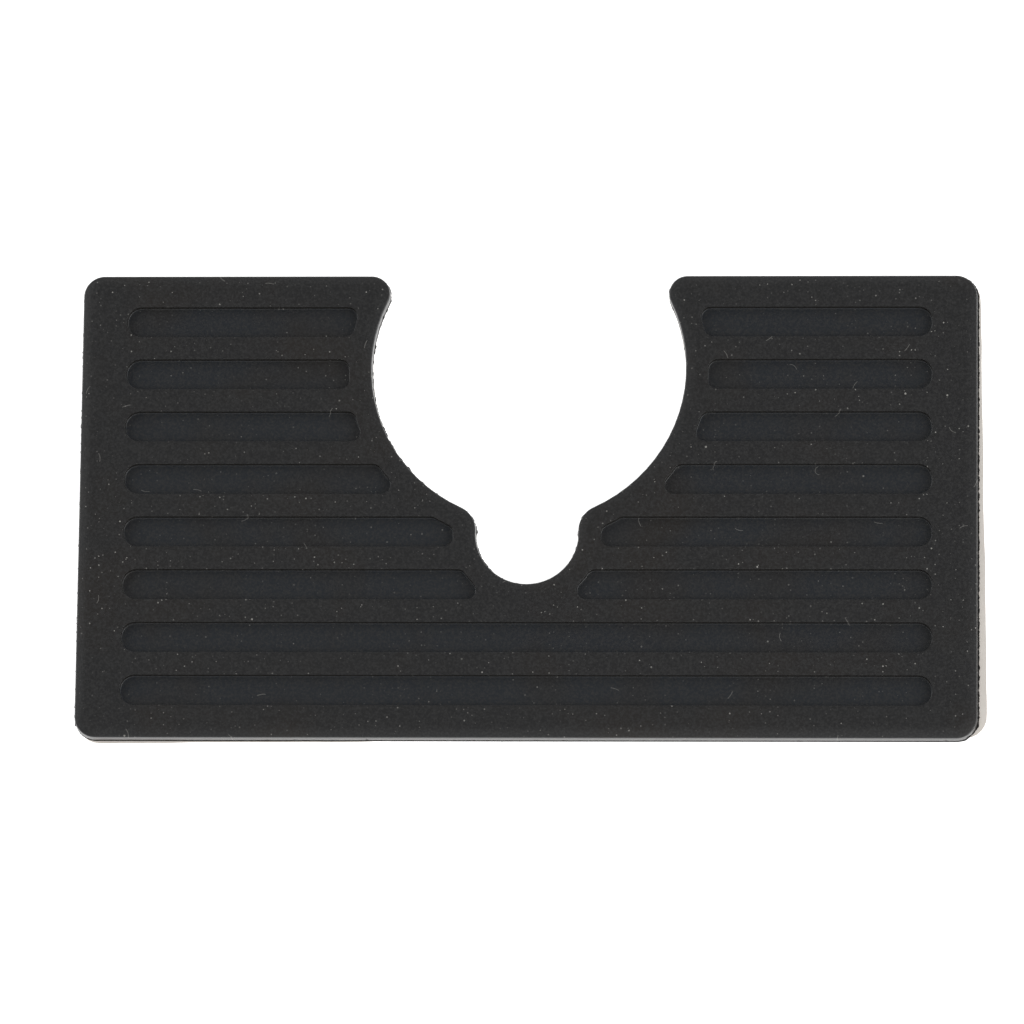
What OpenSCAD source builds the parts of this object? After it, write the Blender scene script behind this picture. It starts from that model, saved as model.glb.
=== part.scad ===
// Snowboard stomp pad: a moulded rubber tread on double-sided foam tape, its paper liner still on.
// It lies tread up on the XY plane. The notch opens towards +Y, and the liner's underside is z = 0.

/* [Outline] */
// Width of the pad
pad_w = 180; // [140:1:240]
// Depth of the pad, from the notched edge to the plain edge
pad_d = 95; // [79:1:130]
// Radius of the four outer corners
corner_r = 4.3; // [2:0.1:8]

/* [Notch] */
// Radius of the notch's large round
notch_r = 31.5; // [24:0.5:38]
// Width of the notch's mouth at its narrowest
mouth_w = 56; // [40:1:60]
// Radius of the small round at the notch's inner end
throat_r = 10.2; // [7.5:0.1:13]
// How far the small round reaches past the large one
throat_len = 12.8; // [6:0.1:15]
// Rounding of the two lobe tips beside the mouth
tip_r = 3.8; // [1:0.1:5]
// Rounding of the shoulders between the two rounds
shoulder_r = 5.3; // [1:0.1:7]

/* [Tread] */
// Thickness of the rubber
tread_t = 2.4; // [1.8:0.1:5]
// Number of rows of grooves
groove_rows = 8; // [4:1:9]
// Width of a groove
groove_w = 6.2; // [4.5:0.1:7.6]
// Depth of a groove
groove_depth = 1.3; // [0.5:0.1:1.6]
// Rubber left between the outer rows and the long edges
row_margin = 6.6; // [5:0.1:12]
// Rubber left between the grooves' outer ends and the short edges
side_margin = 9; // [6:0.5:16]
// Rubber left between the grooves and the notch
notch_margin = 4.5; // [3:0.1:7]
// Corner radius of the grooves' outer ends, limited by half their width
groove_end_r = 2.9; // [1:0.1:5]
// Corner radius of the grooves' ends beside the notch
groove_notch_r = 2; // [1:0.1:2.2]

/* [Backing tape] */
// Thickness of the foam
foam_t = 1.1; // [0.5:0.1:2]
// Thickness of each of the two adhesive films
adhesive_t = 0.1; // [0.05:0.01:0.2]
// How far the tape's edge stays inside the rubber's
tape_inset = 0; // [0:0.1:0.8]

/* [Release liner] */
// Thickness of the paper
liner_t = 0.15; // [0.1:0.01:0.3]
// How far the liner shows past the right-hand edge at the plain edge
liner_out_low = 1.9; // [0:0.1:3]
// How far it shows past the right-hand edge at the notched edge
liner_out_high = 0.6; // [0:0.1:2]
// How far its lower right-hand corner is hidden behind the plain edge
liner_in_plain = 0.9; // [0:0.1:2]
// How far it shows past the plain edge at the left-hand end
liner_out_plain = 0.45; // [0:0.05:1]
// How far its lower left-hand corner is hidden behind the left-hand edge
liner_in_left = 0.6; // [0:0.1:1]

/* [Hidden] */
arc_step = 5;
$fn = 32;
cut_over = 1;
least_flat = 0.1;

// Heights of the layers' undersides
lower_adhesive_z = liner_t;
foam_z = lower_adhesive_z + adhesive_t;
upper_adhesive_z = foam_z + foam_t;
tread_z = upper_adhesive_z + adhesive_t;
tread_top_z = tread_z + tread_t;

// Centres of the outline's rounds, right-hand side, each tangent to its neighbours
corner_c = [pad_w / 2 - corner_r, pad_d / 2 - corner_r];
tip_c = [mouth_w / 2 + tip_r, pad_d / 2 - tip_r];
notch_c = [0, tip_c.y - sqrt(pow(notch_r + tip_r, 2) - pow(tip_c.x, 2))];
throat_c = notch_c - [0, notch_r + throat_len - throat_r];
shoulder_drop = third_side_foot(notch_r + shoulder_r, throat_r + shoulder_r, notch_c.y - throat_c.y);
shoulder_c = [sqrt(pow(notch_r + shoulder_r, 2) - pow(shoulder_drop, 2)), notch_c.y - shoulder_drop];

// The grooves' rows, spread evenly between the long edges
groove_pitch = (pad_d - 2 * row_margin - groove_w) / (groove_rows - 1);
first_row_y = pad_d / 2 - row_margin - groove_w / 2;
row_end_r = min(groove_end_r, (groove_w - least_flat) / 2);

// In a triangle with sides a, b and c, how far from a's end of c the height stands on it
function third_side_foot(a, b, c) = (a * a - b * b + c * c) / (2 * c);

// Direction from one point to another, in degrees
function heading(from, to) = atan2(to.y - from.y, to.x - from.x);

// Points along an arc from angle a0 to a1, either way round
function arc(c, r, a0, a1) =
    let (steps = max(2, ceil(abs(a1 - a0) / arc_step)))
    [for (i = [0 : steps]) let (a = a0 + (a1 - a0) * i / steps) c + r * [cos(a), sin(a)]];

// Right-hand half of the outline, counter-clockwise from the plain edge to the notch's inner end.
// Its two outer corners can be moved, as the liner's are.
function half_outline(inset, low_move = [0, 0], high_move = [0, 0]) = concat(
    arc([corner_c.x, -corner_c.y] + low_move, corner_r - inset, -90, 0),
    arc(corner_c + high_move, corner_r - inset, 0, 90),
    arc(tip_c, tip_r - inset, 90, 360 + heading(tip_c, notch_c)),
    arc(notch_c, notch_r + inset, heading(notch_c, tip_c), heading(notch_c, shoulder_c)),
    arc(shoulder_c, shoulder_r - inset, heading(shoulder_c, notch_c),
        (360 + heading(shoulder_c, throat_c)) % 360),
    arc(throat_c, throat_r + inset, heading(throat_c, shoulder_c), -90)
);

// The half outline's mirror image, in reverse, without the point that lies on the middle line
function other_half(points) = [for (i = [len(points) - 2 : -1 : 0]) [-points[i].x, points[i].y]];

// The pad's whole outline, drawn in by inset all round
module pad_shape(inset = 0) {
    half = half_outline(inset);
    polygon(concat(half, other_half(half)));
}

// One full-width row, with rounded ends
module groove_row() {
    offset(r = row_end_r)
        square([pad_w - 2 * side_margin, groove_w] - 2 * row_end_r * [1, 1], center = true);
}

// All the rows, kept clear of the notch, with the ends that this leaves rounded off
module groove_shapes() {
    offset(r = groove_notch_r)
        offset(delta = -groove_notch_r)
            intersection() {
                for (row = [0 : groove_rows - 1])
                    translate([0, first_row_y - row * groove_pitch])
                        groove_row();
                offset(delta = -notch_margin)
                    pad_shape();
            }
}

module tread_mat() {
    color("#333537")
        difference() {
            translate([0, 0, tread_z])
                linear_extrude(tread_t)
                    pad_shape();
            translate([0, 0, tread_top_z - groove_depth])
                linear_extrude(groove_depth + cut_over)
                    groove_shapes();
        }
}

module tape_layer(z, thickness) {
    translate([0, 0, z])
        linear_extrude(thickness)
            pad_shape(tape_inset);
}

module upper_adhesive() {
    color("#2c2926")
        tape_layer(upper_adhesive_z, adhesive_t);
}

module tape_foam() {
    color("#1e1c1a")
        tape_layer(foam_z, foam_t);
}

module lower_adhesive() {
    color("#35312d")
        tape_layer(lower_adhesive_z, adhesive_t);
}

// The liner was cut with the pad, and has slipped a little against it
module release_liner() {
    right = half_outline(0, [liner_out_low, liner_in_plain], [liner_out_high, 0]);
    left = half_outline(0, [-liner_in_left, -liner_out_plain]);
    color("#d9d5cf")
        linear_extrude(liner_t)
            polygon(concat(right, other_half(left)));
}

release_liner();
lower_adhesive();
tape_foam();
upper_adhesive();
tread_mat();
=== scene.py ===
"""Looks of a snowboard stomp pad: a moulded rubber tread on foam tape, its paper liner still on.

Everything is in metres, in the part's own frame. The pad lies tread up on z = 0, and its notch
opens towards +Y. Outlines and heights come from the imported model; sizes of finish are named here.
"""

import math

import bmesh
import bpy
from mathutils import Euler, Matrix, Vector


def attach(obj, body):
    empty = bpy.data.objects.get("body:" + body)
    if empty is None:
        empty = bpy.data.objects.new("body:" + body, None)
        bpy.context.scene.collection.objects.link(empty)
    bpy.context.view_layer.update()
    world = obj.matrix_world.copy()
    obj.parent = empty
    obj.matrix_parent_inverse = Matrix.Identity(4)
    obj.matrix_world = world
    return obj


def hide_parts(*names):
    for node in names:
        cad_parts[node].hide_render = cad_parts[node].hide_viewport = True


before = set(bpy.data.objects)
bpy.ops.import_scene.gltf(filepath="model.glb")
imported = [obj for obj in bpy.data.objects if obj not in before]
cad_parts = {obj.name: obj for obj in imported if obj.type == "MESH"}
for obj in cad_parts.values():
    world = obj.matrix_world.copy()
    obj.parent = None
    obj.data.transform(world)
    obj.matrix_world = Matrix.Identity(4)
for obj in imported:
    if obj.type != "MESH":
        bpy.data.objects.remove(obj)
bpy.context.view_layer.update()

MM = 0.001
SAME = 0.002 * MM  # two points closer than this are one point

# Moulded rubber tread
TREAD_FINISH = {
    "Shoulder Width": 1.9 * MM,  # the land droops towards the edge over this width
    "Shoulder Drop": 0.36 * MM,  # by this much
    "Shoulder Round": 8.0 * MM,  # rounding where the droop starts
    "Edge Round": 0.35 * MM,  # rounding of the mat's top edge
    "Edge Draft": 0.12 * MM,  # how far its side wall leans in
    "Heel Round": 0.06 * MM,  # rounding of its bottom edge
    "Mouth Round": 0.05 * MM,  # rounding where the land turns down into a groove
    "Foot Round": 0.2 * MM,  # fillet between a groove's wall and its floor
    "Groove Draft": 0.04 * MM,  # how far a groove's wall leans out
    "Rim": 0.6 * MM,  # flat strip beside each rounding
    "Land Rim": 1.4 * MM,  # the same, beside the droop
    "Round Steps": 7,  # facets across a rounding
}

# Die-cut foam tape
FOAM_FINISH = {
    "Step": 0.35 * MM,  # distance between points along the cut
    "Levels": 6,  # points across the foam's thickness
    "Shift": (0, 0.14 * MM, 0),  # how far off the mat the foam was laid
    "Stretch": 0.0028,  # its right-hand half has crept outwards by this share
    "Wander": 0.26 * MM,  # how far torn cells stand in or out of the cut
    "Wave": 0.9 * MM,  # size of a torn cell
}

# Paper release liner
LINER_FINISH = {
    "Step": 1.2 * MM,
    "Levels": 2,
    "Wander": 0.14 * MM,  # how far the cut edge wanders
    "Wave": 14 * MM,  # length of one wave of it
}

# Patterns of the surfaces, in millimetres
STAIN_MM = 18  # clouds of stain on the rubber
PEBBLE_MM = 0.45  # the rubber's pebbled skin, coarser than it is, so that it shows
GATHER_MM = 9  # patches where fine dust gathers
FOAM_CELL_MM = 0.3
DIMPLE_MM = 0.9  # dimples that the foam's cells leave in the adhesive
RIPPLE_MM = 6  # where the adhesive is thicker or thinner
PEEL_MM = 1.8  # orange peel that the roller leaves in the adhesive
PULP_MM = 3  # clouds of fibre in the paper
FIBRE_MM = 1.6  # its fibres, much coarser than they are, so that they show
FIBRE_LENGTH = 6.0  # how many times longer than wide they are
TIGHT_BEND = 0.7 * MM  # how sharply lint curls, at most
LOOSE_BEND = 5 * MM  # and at least

# Camera
VIEW_LEAN = 13.0  # degrees the camera leans back from straight above, towards -Y
VIEW_SIDE = 2.86  # degrees it leans to the right
VIEW_TURN = 0.66  # degrees it is turned about its own line of sight
VIEW_DISTANCE = 1.8034
VIEW_AIM = Vector((-3.19 * MM, -0.54 * MM, 0))
LENS_PER_SENSOR = 8.79  # focal length over the sensor's width: a long lens, nearly parallel
SENSOR = 36.0

# Studio
FLOOR_SIDE = 12.0
FLOOR_GAP = 0.02 * MM  # the floor lies this far under the liner
FLOOR_GLOW = 0.8  # keeps the floor evenly white
TENT_SIDES = 1.3  # brightness of the light tent's walls
TENT_BACK = 0.6  # of the wall behind the notched edge
TENT_TOP = 0.23  # of its roof


# ---------------------------------------------------------------- small tools


def add(tree, kind, sockets=None, **settings):
    """Adds a node with its settings. A socket takes a plain value or another node's output."""
    node = tree.nodes.new(kind)
    for name, value in settings.items():
        setattr(node, name, value)
    for socket, value in (sockets or {}).items():
        target = node.inputs[socket]
        if isinstance(value, bpy.types.NodeSocket):
            tree.links.new(value, target)
        else:
            target.default_value = value
    return node


def linear(hex_colour):
    """An sRGB colour such as "#303234" as linear red, green, blue and alpha."""
    parts = [int(hex_colour[i : i + 2], 16) / 255 for i in (1, 3, 5)]
    return [c / 12.92 if c <= 0.04045 else ((c + 0.055) / 1.055) ** 2.4 for c in parts] + [1.0]


def per_metre(size_mm):
    """The scale that makes a pattern's cells or waves this many millimetres wide."""
    return 1 / (size_mm * MM)


def show(name, data):
    """A new object at the origin that holds this data."""
    obj = bpy.data.objects.new(name, data)
    bpy.context.scene.collection.objects.link(obj)
    return obj


def heights(node):
    """The heights at which a node made of flat layers has points, lowest first."""
    levels = []
    for z in sorted(v.co.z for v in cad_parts[node].data.vertices):
        if not levels or z - levels[-1] > SAME:
            levels.append(z)
    return levels


def rims(node, z):
    """The closed outlines of a node's flat faces at height z, clockwise, the longest first."""
    shape = bmesh.new()
    shape.from_mesh(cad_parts[node].data)
    bmesh.ops.remove_doubles(shape, verts=shape.verts, dist=SAME)
    flat = {f for f in shape.faces if all(abs(v.co.z - z) < SAME for v in f.verts)}
    beside = {}
    for edge in shape.edges:
        if len(flat.intersection(edge.link_faces)) == 1:
            for vert in edge.verts:
                beside.setdefault(vert, []).append(edge.other_vert(vert))
    loops = []
    while beside:
        loop = []
        onward = [next(iter(beside))]
        while onward:
            loop.append(onward[0].co.copy())
            onward = [v for v in beside.pop(onward[0]) if v in beside]
        loops.append(loop)
    shape.free()
    for loop in loops:
        if sum(a.x * b.y - b.x * a.y for a, b in zip(loop, loop[1:] + loop[:1])) > 0:
            loop.reverse()
    return sorted(loops, key=lambda loop: -sum((a - b).length for a, b in zip(loop, loop[1:])))


def outline_object(loops):
    """The outlines as one curve at z = 0. Each runs clockwise, so its normals point inwards."""
    curve = bpy.data.curves.new("outlines", "CURVE")
    curve.dimensions = "3D"
    curve.twist_mode = "Z_UP"
    for loop in loops:
        spline = curve.splines.new("POLY")
        spline.points.add(len(loop) - 1)
        spline.points.foreach_set("co", [c for p in loop for c in (p.x, p.y, 0.0, 1.0)])
        spline.use_cyclic_u = True
    return show("outlines", curve)


# ---------------------------------------------------------------- trees that build the layers


def new_tree(name, inputs):
    """A tree for geometry with a named input for each size and material, and its inputs' sockets."""
    tree = bpy.data.node_groups.new(name, "GeometryNodeTree")
    tree.interface.new_socket("Outlines", in_out="INPUT", socket_type="NodeSocketGeometry")
    for label, kind in inputs.items():
        tree.interface.new_socket(label, in_out="INPUT", socket_type="NodeSocket" + kind)
    tree.interface.new_socket("Piece", in_out="OUTPUT", socket_type="NodeSocketGeometry")
    return tree, add(tree, "NodeGroupInput").outputs


def built(name, loops, tree, values):
    """What the tree makes of the outlines, as a plain mesh whose object sits at the origin.

    The values are for the tree's named inputs. One that is left out stays at zero.
    """
    source = outline_object(loops)
    modifier = source.modifiers.new("build", "NODES")
    modifier.node_group = tree
    for item in tree.interface.items_tree:
        if item.name in values:
            modifier[item.identifier] = values[item.name]
    evaluated = source.evaluated_get(bpy.context.evaluated_depsgraph_get())
    mesh = bpy.data.meshes.new_from_object(evaluated)
    bpy.data.objects.remove(source)
    return show(name, mesh)


def wall(tree, loops, corners, rounds, steps):
    """A wall along the loops. Its section's corners are rounded, except for the first and last.

    A corner is a distance inwards and a distance down.
    """
    line = add(tree, "GeometryNodeCurvePrimitiveLine").outputs[0]
    plain = add(
        tree, "GeometryNodeResampleCurve", {"Curve": line, "Count": len(corners)}
    ).outputs[0]
    index = add(tree, "GeometryNodeInputIndex").outputs[0]
    place = add(tree, "GeometryNodeIndexSwitch", {"Index": index}, data_type="VECTOR")
    radius = add(tree, "GeometryNodeIndexSwitch", {"Index": index}, data_type="FLOAT")
    for switch in (place, radius):
        while len(switch.index_switch_items) < len(corners):
            switch.index_switch_items.new()
    for i, (inward, down) in enumerate(corners):
        corner = add(tree, "ShaderNodeCombineXYZ", {"X": inward, "Y": down}).outputs[0]
        tree.links.new(corner, place.inputs[str(i)])
    for i, rounding in enumerate(rounds, start=1):
        tree.links.new(rounding, radius.inputs[str(i)])
    bent = add(
        tree, "GeometryNodeSetPosition", {"Geometry": plain, "Position": place.outputs[0]}
    ).outputs[0]
    section = add(
        tree,
        "GeometryNodeFilletCurve",
        {"Curve": bent, "Radius": radius.outputs[0], "Count": steps},
        mode="POLY",
    ).outputs[0]
    sweep = {"Curve": loops, "Profile Curve": section}
    return add(tree, "GeometryNodeCurveToMesh", sweep).outputs[0]


def drawn_in(tree, loops, inward):
    """The loops, moved inwards by a distance."""
    normal = add(tree, "GeometryNodeInputNormal").outputs[0]
    shift = add(tree, "ShaderNodeVectorMath", {0: normal, "Scale": inward}, operation="SCALE")
    moved = {"Geometry": loops, "Offset": shift.outputs[0]}
    return add(tree, "GeometryNodeSetPosition", moved).outputs[0]


def face(tree, loops, down, under=False):
    """A flat face inside the loops, a distance down. It looks up, or down if it is an underside."""
    flat = add(tree, "GeometryNodeFillCurve", {"Curve": loops}, mode="TRIANGLES").outputs[0]
    if under:
        flat = add(tree, "GeometryNodeFlipFaces", {"Mesh": flat}).outputs[0]
    flat = add(
        tree, "GeometryNodeSetShadeSmooth", {"Geometry": flat, "Shade Smooth": False}
    ).outputs[0]
    drop = add(tree, "ShaderNodeMath", {0: down, 1: -1.0}, operation="MULTIPLY").outputs[0]
    move = add(tree, "ShaderNodeCombineXYZ", {"Z": drop}).outputs[0]
    return add(tree, "GeometryNodeSetPosition", {"Geometry": flat, "Offset": move}).outputs[0]


def joined(tree, parts):
    """The parts as one closed mesh, with the points along their seams welded."""
    join = add(tree, "GeometryNodeJoinGeometry")
    for part in parts:
        tree.links.new(part, join.inputs[0])
    weld = {"Geometry": join.outputs[0], "Distance": SAME}
    return add(tree, "GeometryNodeMergeByDistance", weld).outputs[0]


def lifted(tree, part, height):
    """The part raised to the height of its top face."""
    move = add(tree, "ShaderNodeCombineXYZ", {"Z": height}).outputs[0]
    return add(tree, "GeometryNodeSetPosition", {"Geometry": part, "Offset": move}).outputs[0]


def finish_tree(tree, part, material):
    """Ends a tree: real faces, with their material."""
    real = add(tree, "GeometryNodeRealizeInstances", {"Geometry": part}).outputs[0]
    painted = add(tree, "GeometryNodeSetMaterial", {"Geometry": real, "Material": material})
    tree.links.new(painted.outputs[0], add(tree, "NodeGroupOutput").inputs[0])


def grooved_mat_tree():
    """A moulded mat: the first outline is its edge, and each other one is a groove's mouth."""
    tree, size = new_tree(
        "grooved_mat",
        {
            "Top": "Float",
            "Thickness": "Float",
            "Groove Depth": "Float",
            "Shoulder Width": "Float",
            "Shoulder Drop": "Float",
            "Shoulder Round": "Float",
            "Edge Round": "Float",
            "Edge Draft": "Float",
            "Heel Round": "Float",
            "Mouth Round": "Float",
            "Foot Round": "Float",
            "Groove Draft": "Float",
            "Rim": "Float",
            "Land Rim": "Float",
            "Round Steps": "Int",
            "Material": "Material",
        },
    )
    index = add(tree, "GeometryNodeInputIndex").outputs[0]
    first = add(tree, "FunctionNodeCompare", {2: index, 3: 0}, data_type="INT", operation="EQUAL")
    split = add(
        tree,
        "GeometryNodeSeparateGeometry",
        {"Geometry": size["Outlines"], "Selection": first.outputs[0]},
        domain="CURVE",
    )
    edge, grooves = split.outputs["Selection"], split.outputs["Inverted"]
    rim = size["Rim"]
    shoulder = add(
        tree,
        "ShaderNodeMath",
        {0: size["Edge Draft"], 1: size["Shoulder Width"]},
        operation="ADD",
    ).outputs[0]
    on_land = add(
        tree, "ShaderNodeMath", {0: shoulder, 1: size["Land Rim"]}, operation="ADD"
    ).outputs[0]
    on_floor = add(
        tree, "ShaderNodeMath", {0: size["Groove Draft"], 1: rim}, operation="ADD"
    ).outputs[0]
    outside = add(tree, "ShaderNodeMath", {0: rim, 1: -1.0}, operation="MULTIPLY").outputs[0]
    side = wall(
        tree,
        edge,
        [
            (rim, size["Thickness"]),
            (0, size["Thickness"]),
            (size["Edge Draft"], size["Shoulder Drop"]),
            (shoulder, 0),
            (on_land, 0),
        ],
        [size["Heel Round"], size["Edge Round"], size["Shoulder Round"]],
        size["Round Steps"],
    )
    depth = size["Groove Depth"]
    groove_walls = wall(
        tree,
        grooves,
        [(outside, 0), (0, 0), (size["Groove Draft"], depth), (on_floor, depth)],
        [size["Mouth Round"], size["Foot Round"]],
        size["Round Steps"],
    )
    land_loops = add(tree, "GeometryNodeJoinGeometry")
    tree.links.new(drawn_in(tree, edge, on_land), land_loops.inputs[0])
    tree.links.new(drawn_in(tree, grooves, outside), land_loops.inputs[0])
    land = face(tree, land_loops.outputs[0], 0.0)
    floors = face(tree, drawn_in(tree, grooves, on_floor), depth)
    underside = face(tree, drawn_in(tree, edge, rim), size["Thickness"], under=True)
    mat = joined(tree, [side, groove_walls, land, floors, underside])
    finish_tree(tree, lifted(tree, mat, size["Top"]), size["Material"])
    return tree


def cut_layer_tree():
    """A flat layer cut out of sheet. Noise moves the cut edge in and out.

    The whole layer can be shifted, and its right-hand half stretched.
    """
    tree, size = new_tree(
        "cut_layer",
        {
            "Top": "Float",
            "Thickness": "Float",
            "Step": "Float",
            "Levels": "Int",
            "Shift": "Vector",
            "Stretch": "Float",
            "Wander": "Float",
            "Wave": "Float",
            "Material": "Material",
        },
    )
    loops = add(
        tree,
        "GeometryNodeResampleCurve",
        {"Curve": size["Outlines"], "Length": size["Step"]},
        mode="LENGTH",
    ).outputs[0]
    down = add(tree, "ShaderNodeCombineXYZ", {"Y": size["Thickness"]}).outputs[0]
    line = add(
        tree, "GeometryNodeCurvePrimitiveLine", {"Start": down, "End": (0, 0, 0)}
    ).outputs[0]
    section = add(
        tree, "GeometryNodeResampleCurve", {"Curve": line, "Count": size["Levels"]}
    ).outputs[0]
    sweep = {"Curve": loops, "Profile Curve": section}
    side = add(tree, "GeometryNodeCurveToMesh", sweep).outputs[0]
    top = face(tree, loops, 0.0)
    underside = face(tree, loops, size["Thickness"], under=True)
    layer = joined(tree, [side, top, underside])
    cells = add(tree, "ShaderNodeMath", {0: 1.0, 1: size["Wave"]}, operation="DIVIDE").outputs[0]
    noise = add(tree, "ShaderNodeTexNoise", {"Scale": cells, "Detail": 1.5})
    # Noise swings by about a quarter round a half. Here it comes to swing by about one round zero,
    # and only sideways.
    swing = add(
        tree,
        "ShaderNodeVectorMath",
        {0: noise.outputs["Color"], 1: (0.5, 0.5, 0.5)},
        operation="SUBTRACT",
    ).outputs[0]
    sideways = add(
        tree, "ShaderNodeVectorMath", {0: swing, 1: (4, 4, 0)}, operation="MULTIPLY"
    ).outputs[0]
    wandered = add(
        tree, "ShaderNodeVectorMath", {0: sideways, "Scale": size["Wander"]}, operation="SCALE"
    ).outputs[0]
    place = add(tree, "GeometryNodeInputPosition").outputs[0]
    right_half = add(
        tree, "ShaderNodeVectorMath", {0: place, 1: (0, 0, 0)}, operation="MAXIMUM"
    ).outputs[0]
    share = add(tree, "ShaderNodeCombineXYZ", {"X": size["Stretch"]}).outputs[0]
    crept = add(
        tree,
        "ShaderNodeVectorMath",
        {0: right_half, 1: share, 2: size["Shift"]},
        operation="MULTIPLY_ADD",
    ).outputs[0]
    offset = add(
        tree, "ShaderNodeVectorMath", {0: wandered, 1: crept}, operation="ADD"
    ).outputs[0]
    cut = add(tree, "GeometryNodeSetPosition", {"Geometry": layer, "Offset": offset}).outputs[0]
    finish_tree(tree, lifted(tree, cut, size["Top"]), size["Material"])
    return tree


# ---------------------------------------------------------------- materials

# A colour mix takes its share at socket 0 and its two colours at 6 and 7, and gives output 2.
SHARE, UNDER, OVER, MIXED = 0, 6, 7, 2


def new_material(name, **sockets):
    """A material, its tree and its Principled surface, whose sockets start with these values."""
    material = bpy.data.materials.new(name)
    material.use_nodes = True
    tree = material.node_tree
    tree.nodes.clear()
    values = {socket.replace("_", " "): value for socket, value in sockets.items()}
    surface = add(tree, "ShaderNodeBsdfPrincipled", values)
    output = add(tree, "ShaderNodeOutputMaterial")
    tree.links.new(surface.outputs[0], output.inputs["Surface"])
    return material, tree, surface


def specks(tree, place, apart_mm, radius_mm, share):
    """Dust: round specks of many sizes, in a share of cells that are this far apart.

    The outer third of the largest speck fades out.
    """
    largest = radius_mm / apart_mm
    cells = add(tree, "ShaderNodeTexVoronoi", {"Vector": place, "Scale": per_metre(apart_mm)})
    luck = add(tree, "ShaderNodeSeparateColor", {"Color": cells.outputs["Color"]})
    radius = add(
        tree,
        "ShaderNodeMapRange",
        {"Value": luck.outputs[0], "From Min": 1 - share, "From Max": 1.0, "To Max": largest},
    ).outputs[0]
    inside = add(
        tree, "ShaderNodeMath", {0: radius, 1: cells.outputs["Distance"]}, operation="SUBTRACT"
    ).outputs[0]
    speck = add(
        tree,
        "ShaderNodeMath",
        {0: inside, 1: 3 / largest},
        operation="MULTIPLY",
        use_clamp=True,
    ).outputs[0]
    strength = add(
        tree, "ShaderNodeMapRange", {"Value": luck.outputs[1], "To Min": 0.25, "To Max": 1.0}
    ).outputs[0]
    return add(tree, "ShaderNodeMath", {0: speck, 1: strength}, operation="MULTIPLY").outputs[0]


def lint(tree, place, apart_mm, length_mm, width_mm, share):
    """Short curved fibres, one in a share of cells that are this far apart."""
    cells = add(
        tree,
        "ShaderNodeTexVoronoi",
        {"Vector": place, "Scale": per_metre(apart_mm)},
        voronoi_dimensions="2D",
    )
    luck = add(tree, "ShaderNodeSeparateColor", {"Color": cells.outputs["Color"]})
    local = add(
        tree,
        "ShaderNodeVectorMath",
        {0: place, 1: cells.outputs["Position"]},
        operation="SUBTRACT",
    ).outputs[0]
    turn = add(
        tree, "ShaderNodeMath", {0: luck.outputs[0], 1: math.tau}, operation="MULTIPLY"
    ).outputs[0]
    turned = add(
        tree, "ShaderNodeVectorRotate", {"Vector": local, "Angle": turn}, rotation_type="Z_AXIS"
    ).outputs[0]
    along = add(tree, "ShaderNodeSeparateXYZ", {"Vector": turned})
    bend = add(
        tree,
        "ShaderNodeMapRange",
        {"Value": luck.outputs[1], "To Min": TIGHT_BEND, "To Max": LOOSE_BEND},
    ).outputs[0]
    aside = add(
        tree, "ShaderNodeMath", {0: along.outputs["Y"], 1: bend}, operation="SUBTRACT"
    ).outputs[0]
    reach = add(tree, "ShaderNodeCombineXYZ", {"X": along.outputs["X"], "Y": aside}).outputs[0]
    far = add(tree, "ShaderNodeVectorMath", {0: reach}, operation="LENGTH").outputs["Value"]
    off_line = add(
        tree, "ShaderNodeMath", {0: far, 1: bend, 2: width_mm * MM / 2}, operation="COMPARE"
    ).outputs[0]
    near = add(
        tree,
        "ShaderNodeMath",
        {0: along.outputs["X"], 1: 0.0, 2: length_mm * MM / 2},
        operation="COMPARE",
    ).outputs[0]
    front = add(tree, "ShaderNodeMath", {0: aside, 1: 0.0}, operation="LESS_THAN").outputs[0]
    there = add(
        tree, "ShaderNodeMath", {0: luck.outputs[2], 1: 1 - share}, operation="GREATER_THAN"
    ).outputs[0]
    total = off_line
    for part in (near, front, there):
        total = add(tree, "ShaderNodeMath", {0: total, 1: part}, operation="MULTIPLY").outputs[0]
    return total


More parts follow.
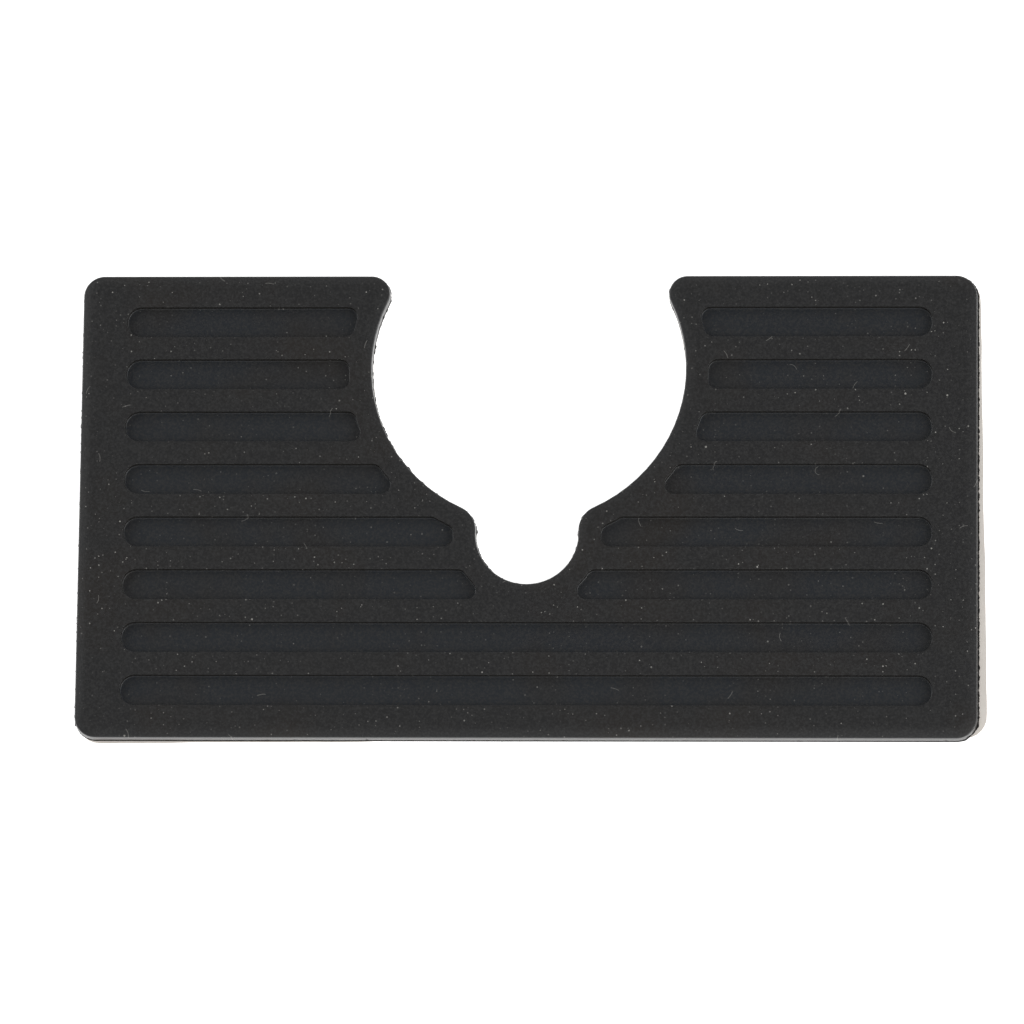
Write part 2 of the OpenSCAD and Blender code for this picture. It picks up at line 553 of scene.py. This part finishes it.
def moulded_rubber():
    """Black nitrile rubber, compression moulded: matt and close to black, with a fine pebbled skin.

    Handling leaves pale dust and lint on it, most of it up on the lands. The groove floors, which
    nothing touches, stay cleaner, and their colour is painted a shade lighter and cooler to offset
    the shade in the grooves. The side and groove walls are smoother, and their colour is painted
    darker and browner as shade.
    """
    material, tree, surface = new_material("moulded_nitrile_rubber", Roughness=0.6, IOR=1.52)
    seat = add(tree, "ShaderNodeTexCoord")
    place, facing = seat.outputs["Object"], seat.outputs["Normal"]
    _, floor_z, top_z = heights("tread_mat")
    # The floor tone is painted lighter than the land tone, as painted light against the shade in the
    # grooves; the wall tone is painted shade.
    lightened_floor_tone, land_tone, stain_tone = linear("#171c22"), linear("#151516"), linear("#1b1714")
    wall_shade_tone, pebble_tone, dust_tone = linear("#16120e"), linear("#2b2b2b"), linear("#9b9994")
    height = add(tree, "ShaderNodeSeparateXYZ", {"Vector": place}).outputs["Z"]
    on_land = add(
        tree,
        "ShaderNodeMapRange",
        {"Value": height, "From Min": floor_z, "From Max": top_z},
        interpolation_type="SMOOTHSTEP",
    ).outputs[0]
    # Groove floors take the lighter floor tone: painted light against their shade.
    tone = add(
        tree, "ShaderNodeMix", {SHARE: on_land, UNDER: lightened_floor_tone, OVER: land_tone}, data_type="RGBA"
    ).outputs[MIXED]
    cloud = add(
        tree, "ShaderNodeTexNoise", {"Vector": place, "Scale": per_metre(STAIN_MM), "Detail": 3.0}
    ).outputs["Fac"]
    # Only the denser parts of the clouds stain the rubber.
    stain = add(
        tree, "ShaderNodeMapRange", {"Value": cloud, "From Min": 0.48, "From Max": 0.72}
    ).outputs[0]
    tone = add(
        tree, "ShaderNodeMix", {SHARE: stain, UNDER: tone, OVER: stain_tone}, data_type="RGBA"
    ).outputs[MIXED]
    # A face that looks up is skin from the mould, and one that stands upright is a wall, whose colour
    # is painted darker and browner as shade.
    upright = add(tree, "ShaderNodeSeparateXYZ", {"Vector": facing}).outputs["Z"]
    flat = add(
        tree, "ShaderNodeMapRange", {"Value": upright, "From Min": 0.1, "From Max": 0.8}
    ).outputs[0]
    tone = add(
        tree, "ShaderNodeMix", {SHARE: flat, UNDER: wall_shade_tone, OVER: tone}, data_type="RGBA"
    ).outputs[MIXED]
    grain = add(
        tree,
        "ShaderNodeTexNoise",
        {"Vector": place, "Scale": per_metre(PEBBLE_MM), "Detail": 3.0, "Roughness": 0.65},
    ).outputs["Fac"]
    grain_share = add(
        tree,
        "ShaderNodeMapRange",
        {"Value": grain, "From Min": 0.42, "From Max": 0.72},
    ).outputs[0]
    tone = add(
        tree, "ShaderNodeMix", {SHARE: grain_share, UNDER: tone, OVER: pebble_tone}, data_type="RGBA"
    ).outputs[MIXED]
    # The groove floors hold half the dust that the lands do.
    dusty = add(
        tree, "ShaderNodeMapRange", {"Value": on_land, "To Min": 0.5, "To Max": 1.0}
    ).outputs[0]
    gather = add(
        tree, "ShaderNodeTexNoise", {"Vector": place, "Scale": per_metre(GATHER_MM), "Detail": 2.0}
    ).outputs["Fac"]
    gather = add(
        tree,
        "ShaderNodeMapRange",
        {"Value": gather, "From Min": 0.4, "From Max": 0.62, "To Min": 0.3, "To Max": 1.0},
    ).outputs[0]
    large = specks(tree, place, apart_mm=2.1, radius_mm=0.25, share=0.45)
    small = specks(tree, place, apart_mm=0.8, radius_mm=0.19, share=0.6)
    faint = add(tree, "ShaderNodeMath", {0: small, 1: gather}, operation="MULTIPLY").outputs[0]
    fibre = lint(tree, place, apart_mm=7, length_mm=1.7, width_mm=0.13, share=0.12)
    thin = add(tree, "ShaderNodeMath", {0: fibre, 1: 0.3}, operation="MULTIPLY").outputs[0]
    dust = add(tree, "ShaderNodeMath", {0: large, 1: faint}, operation="MAXIMUM").outputs[0]
    dust = add(tree, "ShaderNodeMath", {0: dust, 1: dusty}, operation="MULTIPLY").outputs[0]
    dust = add(tree, "ShaderNodeMath", {0: dust, 1: thin}, operation="MAXIMUM").outputs[0]
    tone = add(
        tree, "ShaderNodeMix", {SHARE: dust, UNDER: tone, OVER: dust_tone}, data_type="RGBA"
    ).outputs[MIXED]
    tree.links.new(tone, surface.inputs["Base Color"])
    # The pebbles' tops are duller than the hollows between them, and the walls have a slight sheen.
    skin = add(
        tree, "ShaderNodeMapRange", {"Value": grain, "To Min": 0.38, "To Max": 0.52}
    ).outputs[0]
    rough = add(
        tree, "ShaderNodeMapRange", {"Value": flat, "To Min": 0.28, "To Max": skin}
    ).outputs[0]
    tree.links.new(rough, surface.inputs["Roughness"])
    raised = add(tree, "ShaderNodeMath", {0: dust, 1: grain}, operation="ADD").outputs[0]
    bump = add(
        tree, "ShaderNodeBump", {"Height": raised, "Strength": 0.6, "Distance": 0.05 * MM}
    ).outputs[0]
    tree.links.new(bump, surface.inputs["Normal"])
    return material


def cut_foam():
    """Black closed-cell polyethylene foam, die cut: dull, with the cut cells open at the edge and
    painted shade in their hollows.
    """
    material, tree, surface = new_material("closed_cell_polyethylene_foam", Roughness=0.9, IOR=1.5)
    place = add(tree, "ShaderNodeTexCoord").outputs["Object"]
    cells = add(
        tree, "ShaderNodeTexVoronoi", {"Vector": place, "Scale": per_metre(FOAM_CELL_MM)}
    ).outputs["Distance"]
    # Each cell is darker at its middle than at its rim: painted shade in the cell's hollow.
    cell_shade_tone, skin_tone = linear("#100f0e"), linear("#262422")
    tone = add(
        tree, "ShaderNodeMix", {SHARE: cells, UNDER: cell_shade_tone, OVER: skin_tone}, data_type="RGBA"
    ).outputs[MIXED]
    tree.links.new(tone, surface.inputs["Base Color"])
    bump = add(
        tree, "ShaderNodeBump", {"Height": cells, "Strength": 0.9, "Distance": 0.12 * MM}
    ).outputs[0]
    tree.links.new(bump, surface.inputs["Normal"])
    return material


def acrylic_adhesive():
    """Clear acrylic adhesive on black foam: it looks wet and nearly black.

    The foam's cells dimple it, small bubbles are trapped under it, and the roller that coated it
    left a faint orange peel.
    """
    material, tree, surface = new_material("coated_acrylic_adhesive", Roughness=0.2, IOR=1.47)
    place = add(tree, "ShaderNodeTexCoord").outputs["Object"]
    thin_tone, thick_tone, bubble_tone = linear("#1f1c19"), linear("#332f2a"), linear("#5a554e")
    cells = add(
        tree, "ShaderNodeTexVoronoi", {"Vector": place, "Scale": per_metre(DIMPLE_MM)}
    ).outputs["Distance"]
    ripple = add(
        tree, "ShaderNodeTexNoise", {"Vector": place, "Scale": per_metre(RIPPLE_MM), "Detail": 2.0}
    ).outputs["Fac"]
    tone = add(
        tree, "ShaderNodeMix", {SHARE: ripple, UNDER: thin_tone, OVER: thick_tone}, data_type="RGBA"
    ).outputs[MIXED]
    bubbles = specks(tree, place, apart_mm=2.4, radius_mm=0.45, share=0.5)
    tone = add(
        tree, "ShaderNodeMix", {SHARE: bubbles, UNDER: tone, OVER: bubble_tone}, data_type="RGBA"
    ).outputs[MIXED]
    tree.links.new(tone, surface.inputs["Base Color"])
    rough = add(
        tree, "ShaderNodeMapRange", {"Value": ripple, "To Min": 0.12, "To Max": 0.42}
    ).outputs[0]
    tree.links.new(rough, surface.inputs["Roughness"])
    peel = add(
        tree, "ShaderNodeTexNoise", {"Vector": place, "Scale": per_metre(PEEL_MM), "Detail": 2.0}
    ).outputs["Fac"]
    relief = add(tree, "ShaderNodeMath", {0: cells, 1: bubbles}, operation="SUBTRACT").outputs[0]
    relief = add(tree, "ShaderNodeMath", {0: relief, 1: peel}, operation="ADD").outputs[0]
    bump = add(
        tree, "ShaderNodeBump", {"Height": relief, "Strength": 0.7, "Distance": 0.12 * MM}
    ).outputs[0]
    tree.links.new(bump, surface.inputs["Normal"])
    return material


def coated_paper():
    """Off-white kraft liner paper with a silicone coat: a soft gloss over faint clouds of fibre."""
    material, tree, surface = new_material("silicone_coated_paper", Roughness=0.45, IOR=1.45)
    place = add(tree, "ShaderNodeTexCoord").outputs["Object"]
    cloud = add(
        tree, "ShaderNodeTexNoise", {"Vector": place, "Scale": per_metre(PULP_MM), "Detail": 5.0}
    ).outputs["Fac"]
    dense_tone, pale_tone = linear("#ece5dc"), linear("#fbf5ee")
    tone = add(
        tree, "ShaderNodeMix", {SHARE: cloud, UNDER: dense_tone, OVER: pale_tone}, data_type="RGBA"
    ).outputs[MIXED]
    tree.links.new(tone, surface.inputs["Base Color"])
    stretch = add(
        tree, "ShaderNodeMapping", {"Vector": place, "Scale": (1.0, FIBRE_LENGTH, 1.0)}
    ).outputs[0]
    fibre = add(
        tree, "ShaderNodeTexNoise", {"Vector": stretch, "Scale": per_metre(FIBRE_MM), "Detail": 4.0}
    ).outputs["Fac"]
    bump = add(
        tree, "ShaderNodeBump", {"Height": fibre, "Strength": 0.25, "Distance": 0.04 * MM}
    ).outputs[0]
    tree.links.new(bump, surface.inputs["Normal"])
    return material


# ---------------------------------------------------------------- the pieces


def tread_mat():
    """The rubber mat, moulded in place of its plain node."""
    under, floor_z, top_z = heights("tread_mat")
    values = {
        "Top": top_z,
        "Thickness": top_z - under,
        "Groove Depth": top_z - floor_z,
        "Material": moulded_rubber(),
    }
    outlines = rims("tread_mat", top_z)
    piece = built("moulded_tread", outlines, grooved_mat_tree(), values | TREAD_FINISH)
    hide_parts("tread_mat")
    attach(piece, "pad")


def cut_layer(name, node, tree, finish, material):
    """A layer cut from sheet, in place of its plain node."""
    under, top = heights(node)
    values = {"Top": top, "Thickness": top - under, "Material": material}
    return built(name, rims(node, top), tree, values | finish)


def tape_and_liner():
    """The foam and the liner as cut layers. The two adhesive films keep their own shape."""
    tree = cut_layer_tree()
    foam = cut_layer("foam_core", "tape_foam", tree, FOAM_FINISH, cut_foam())
    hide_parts("tape_foam")
    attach(foam, "pad")
    liner = cut_layer("paper_liner", "release_liner", tree, LINER_FINISH, coated_paper())
    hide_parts("release_liner")
    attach(liner, "liner")
    film = acrylic_adhesive()
    for node in ("upper_adhesive", "lower_adhesive"):
        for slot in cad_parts[node].material_slots:
            slot.material = film


# ---------------------------------------------------------------- the studio


def camera():
    """A long lens above the pad, leaning back and a little to the right."""
    data = bpy.data.cameras.new("camera")
    data.sensor_width = SENSOR
    data.lens = SENSOR * LENS_PER_SENSOR
    data.clip_end = 100
    eye = show("camera", data)
    turn = Euler([math.radians(a) for a in (VIEW_LEAN, VIEW_SIDE, VIEW_TURN)])
    eye.rotation_euler = turn
    eye.location = VIEW_AIM + turn.to_matrix() @ Vector((0, 0, VIEW_DISTANCE))
    bpy.context.scene.camera = eye


def softbox(name, place, side, power):
    """A square soft light that looks at the pad. It lights, but doesn't show in the picture."""
    data = bpy.data.lights.new(name, "AREA")
    data.size = side
    data.energy = power
    lamp = show(name, data)
    lamp.location = place
    lamp.rotation_euler = (-Vector(place)).to_track_quat("-Z", "Y").to_euler()
    lamp.visible_camera = False


def floor():
    """A plain white table, a hair below the liner."""
    mesh = bpy.data.meshes.new("floor")
    half = FLOOR_SIDE / 2
    corners = [(-half, -half), (half, -half), (half, half), (-half, half)]
    mesh.from_pydata([(x, y, -FLOOR_GAP) for x, y in corners], [], [(0, 1, 2, 3)])
    material, _, surface = new_material("matt_white_table", Roughness=0.9)
    surface.inputs["Base Color"].default_value = (0.9, 0.9, 0.9, 1)
    surface.inputs["Emission Color"].default_value = (1, 1, 1, 1)
    surface.inputs["Emission Strength"].default_value = FLOOR_GLOW
    mesh.materials.append(material)
    show("floor", mesh)


def studio():
    """A light tent, bright low down and dim at its roof and back, with soft lamps round it."""
    world = bpy.data.worlds.new("tent")
    world.use_nodes = True
    sky = world.node_tree
    around = add(sky, "ShaderNodeTexCoord").outputs["Generated"]
    way = add(sky, "ShaderNodeSeparateXYZ", {"Vector": around})
    walls = {"From Min": 0.1, "From Max": 0.8, "To Min": TENT_SIDES, "To Max": TENT_BACK}
    low = add(sky, "ShaderNodeMapRange", {"Value": way.outputs["Y"], **walls}).outputs[0]
    roof = {"From Min": 0.15, "From Max": 0.75, "To Min": low, "To Max": TENT_TOP}
    glow = add(
        sky,
        "ShaderNodeMapRange",
        {"Value": way.outputs["Z"], **roof},
        interpolation_type="SMOOTHSTEP",
    ).outputs[0]
    sky.links.new(glow, sky.nodes["Background"].inputs["Strength"])
    sky.nodes["Background"].inputs["Color"].default_value = (1, 1, 1, 1)
    bpy.context.scene.world = world
    bpy.context.scene.view_settings.view_transform = "Standard"
    softbox("left_softbox", place=(-1.1, 0.4, 0.6), side=0.9, power=5)
    softbox("back_softbox", place=(0.2, 1.2, 0.45), side=0.9, power=3)
    softbox("right_softbox", place=(1.1, -0.35, 0.7), side=0.9, power=9)
    softbox("front_softbox", place=(0.1, -0.55, 1.1), side=0.6, power=1.5)


tread_mat()
tape_and_liner()
camera()
studio()
floor()
